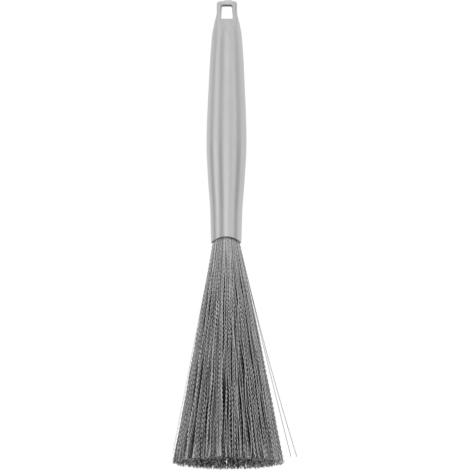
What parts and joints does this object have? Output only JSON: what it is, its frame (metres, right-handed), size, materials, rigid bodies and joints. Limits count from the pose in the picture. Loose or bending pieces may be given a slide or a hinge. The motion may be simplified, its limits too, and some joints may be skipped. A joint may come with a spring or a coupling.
{
  "type": "dish brush",
  "caption": "Stainless steel dish brush: hollow tapered handle with a hanging eye at its end and a flared cone of fine steel wires trimmed to one flat end.",
  "frame": {"origin": "where the handle's axis meets the plane of the trimmed wire tips", "axes": "+Z along the handle's axis, from the tips to the hanging eye; the eye is open along Y, and -Y is the pictured front"},
  "size_m": [0.0654, 0.0591, 0.2455],
  "materials": {
    "handle_steel": "satin brushed along the handle",
    "inner_steel": "plain drawn",
    "wire_steel": "bright crimped wire"
  },
  "bodies": {
    "root": {"handle_shell": "handle_steel", "eye_liner": "handle_steel", "end_plug": "handle_steel", "root_cup": "inner_steel", "anchor_bar": "inner_steel", "stray_wires": "wire_steel", "wire_hank_01": "wire_steel", "wire_hank_02": "wire_steel", "wire_hank_03": "wire_steel", "wire_hank_04": "wire_steel", "wire_hank_05": "wire_steel", "wire_hank_06": "wire_steel", "wire_hank_07": "wire_steel", "wire_hank_08": "wire_steel", "wire_hank_09": "wire_steel", "wire_hank_10": "wire_steel", "wire_hank_11": "wire_steel", "wire_hank_12": "wire_steel", "wire_hank_13": "wire_steel", "wire_hank_14": "wire_steel", "wire_hank_15": "wire_steel", "wire_hank_16": "wire_steel", "wire_hank_17": "wire_steel", "wire_hank_18": "wire_steel", "wire_hank_19": "wire_steel"}
  },
  "joints": []
}
